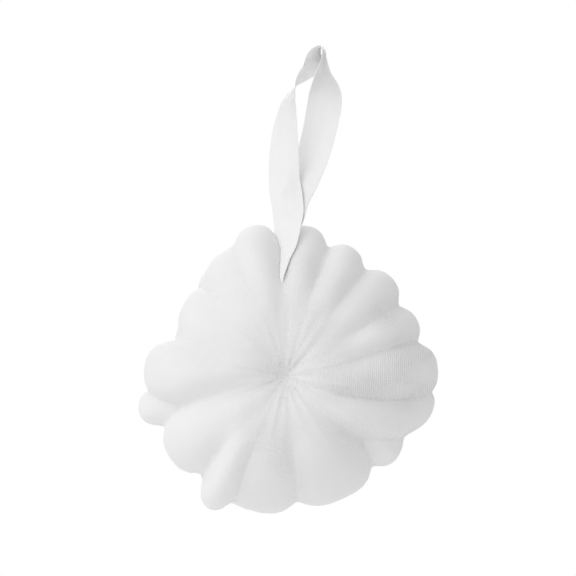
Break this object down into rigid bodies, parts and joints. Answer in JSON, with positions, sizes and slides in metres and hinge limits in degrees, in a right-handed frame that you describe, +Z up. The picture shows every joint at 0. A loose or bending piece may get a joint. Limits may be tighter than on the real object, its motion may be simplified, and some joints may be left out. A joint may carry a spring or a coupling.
{
  "type": "mesh bath pouf",
  "caption": "Round puff of folded soft net, tied at its middle, with a flat ribbon loop to hang it by.",
  "frame": {"origin": "the point inside the top of the ribbon loop that a hook or a finger carries", "axes": "+Z up as it hangs, -Y towards the viewer in front of the pouf, +X to the viewer's right"},
  "size_m": [0.1283, 0.0865, 0.2063],
  "materials": {
    "net": "fine knitted net, white, matte",
    "tie_cord": "twisted cord, off-white",
    "ribbon": "woven ribbon, white, soft sheen"
  },
  "bodies": {
    "root": {"mesh_puff": "net", "centre_tie": "tie_cord", "ribbon_loop": "ribbon"}
  },
  "joints": []
}
